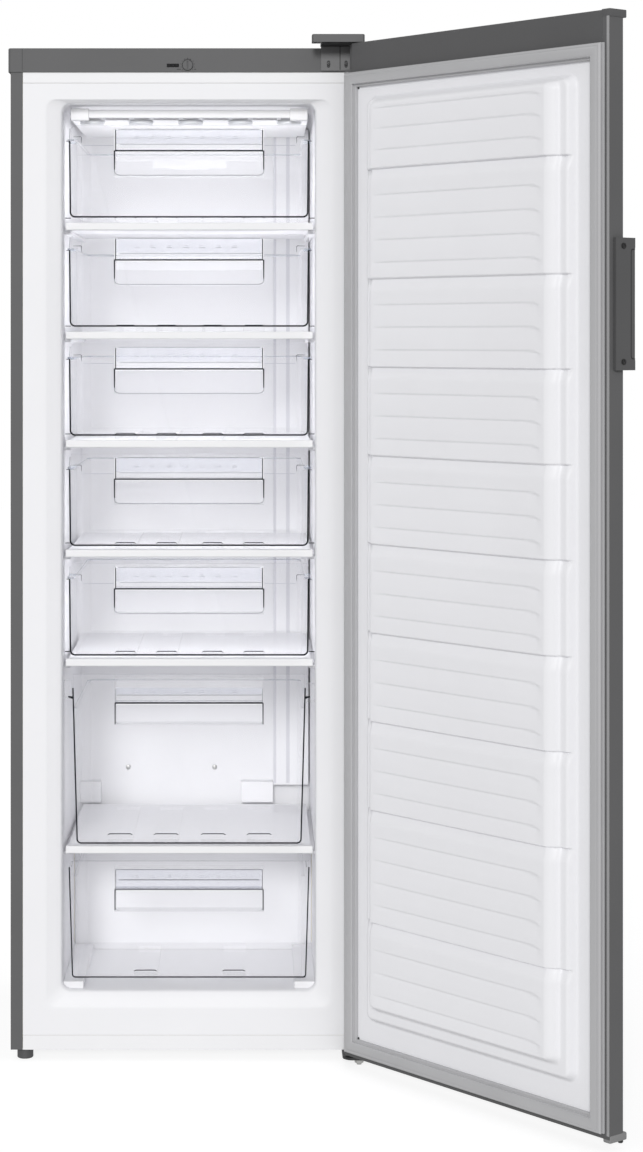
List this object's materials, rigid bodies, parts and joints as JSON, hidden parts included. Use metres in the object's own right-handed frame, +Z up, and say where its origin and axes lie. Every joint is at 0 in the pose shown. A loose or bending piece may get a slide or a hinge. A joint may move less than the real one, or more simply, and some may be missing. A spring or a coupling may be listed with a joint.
{
  "type": "upright freezer",
  "caption": "Tall upright freezer with a hinged door, clear pull-out drawers between evaporator shelves, and a rear compressor recess.",
  "frame": {"origin": "on the floor, under the middle of the front left levelling foot", "axes": "+X to the right seen from the front, +Y to the back, +Z up"},
  "size_m": [0.9785, 1.0625, 1.7075],
  "materials": {
    "grey_paint": "satin",
    "white_paint": "gloss",
    "hinge_paint": "satin",
    "handle_paint": "satin",
    "galvanised": "matte",
    "zinc_steel": "satin",
    "dark_screw": "satin",
    "foam": "matte",
    "white_liner": "satin",
    "white_trim": "gloss",
    "white_tube": "satin",
    "clear_plastic": "gloss",
    "lamp_lens": "gloss",
    "dark_plastic": "satin",
    "black_plastic": "matte",
    "foot_plastic": "matte",
    "black_rubber": "matte",
    "grey_gasket": "matte",
    "magnet": "matte",
    "black_enamel": "satin",
    "copper": "satin"
  },
  "bodies": {
    "cabinet": {"side_panel_left": "grey_paint", "side_panel_right": "grey_paint", "top_panel": "grey_paint", "back_panel": "galvanised", "base_plate": "galvanised", "compressor_tray": "galvanised", "inner_liner": "white_liner", "insulation_foam": "foam", "front_rails": "white_paint", "indicator_lamps": "lamp_lens", "thermostat_body": "black_plastic", "top_hinge_bracket": "hinge_paint", "hinge_cover": "dark_plastic", "bottom_hinge_bracket": "hinge_paint", "hinge_pins": "zinc_steel", "hinge_screws": "zinc_steel", "evaporator_tubes": "white_tube", "shelf_sleeves": "white_liner", "shelf_front_bars": "white_trim", "top_evaporator_sheet": "white_trim", "top_evaporator_bar": "white_trim", "pipe_duct_cover": "white_liner", "riser_pipe": "white_tube", "drawer_rails": "white_liner", "rear_feet": "foot_plastic", "compressor_grommets": "black_rubber", "compressor": "black_enamel", "start_relay_box": "black_plastic", "refrigerant_pipes": "copper", "filter_drier": "copper", "condenser_tube": "black_enamel", "condenser_wires": "black_enamel", "condenser_clips": "black_plastic"},
    "door": {"door_skin": "grey_paint", "door_foam": "foam", "door_liner": "white_liner", "door_top_cap": "dark_plastic", "door_bottom_cap": "dark_plastic", "door_hinge_bushes": "black_plastic", "door_gasket": "grey_gasket", "gasket_magnets": "magnet", "door_handle": "handle_paint", "handle_screws": "dark_screw"},
    "thermostat_knob": {"thermostat_dial": "dark_plastic"},
    "front_foot_left": {"levelling_foot_left": "foot_plastic"},
    "front_foot_right": {"levelling_foot_right": "foot_plastic"},
    "drawer_1": {"drawer_1_tub": "clear_plastic", "drawer_1_front": "clear_plastic"},
    "drawer_2": {"drawer_2_tub": "clear_plastic", "drawer_2_front": "clear_plastic"},
    "drawer_3": {"drawer_3_tub": "clear_plastic", "drawer_3_front": "clear_plastic"},
    "drawer_4": {"drawer_4_tub": "clear_plastic", "drawer_4_front": "clear_plastic"},
    "drawer_5": {"drawer_5_tub": "clear_plastic", "drawer_5_front": "clear_plastic"},
    "drawer_6": {"drawer_6_tub": "clear_plastic", "drawer_6_front": "clear_plastic"},
    "drawer_7": {"drawer_7_tub": "clear_plastic", "drawer_7_front": "clear_plastic"}
  },
  "joints": [
    {"name": "door_hinge", "type": "hinge", "parent": "cabinet", "child": "door", "pos_m": [0.5577, -0.0552, 0], "axis": [0, 0, 1], "range_deg": [-129.3, 5.7]},
    {"name": "thermostat_turn", "type": "hinge", "parent": "cabinet", "child": "thermostat_knob", "pos_m": [0.2728, -0.022, 1.6615], "axis": [0, -1, 0], "range_deg": [-135, 135]},
    {"name": "foot_left_turn", "type": "hinge", "parent": "cabinet", "child": "front_foot_left", "pos_m": [0, 0, 0], "axis": [0, 0, 1], "range_deg": [-720, 720]},
    {"name": "foot_right_turn", "type": "hinge", "parent": "cabinet", "child": "front_foot_right", "pos_m": [0.5486, 0, 0], "axis": [0, 0, 1], "range_deg": [-720, 720]},
    {"name": "drawer_1_slide", "type": "slide", "parent": "cabinet", "child": "drawer_1", "axis": [0, -1, 0], "range_m": [0, 0.3]},
    {"name": "drawer_2_slide", "type": "slide", "parent": "cabinet", "child": "drawer_2", "axis": [0, -1, 0], "range_m": [0, 0.3]},
    {"name": "drawer_3_slide", "type": "slide", "parent": "cabinet", "child": "drawer_3", "axis": [0, -1, 0], "range_m": [0, 0.3]},
    {"name": "drawer_4_slide", "type": "slide", "parent": "cabinet", "child": "drawer_4", "axis": [0, -1, 0], "range_m": [0, 0.3]},
    {"name": "drawer_5_slide", "type": "slide", "parent": "cabinet", "child": "drawer_5", "axis": [0, -1, 0], "range_m": [0, 0.3]},
    {"name": "drawer_6_slide", "type": "slide", "parent": "cabinet", "child": "drawer_6", "axis": [0, -1, 0], "range_m": [0, 0.3]},
    {"name": "drawer_7_slide", "type": "slide", "parent": "cabinet", "child": "drawer_7", "axis": [0, -1, 0], "range_m": [0, 0.2]}
  ]
}
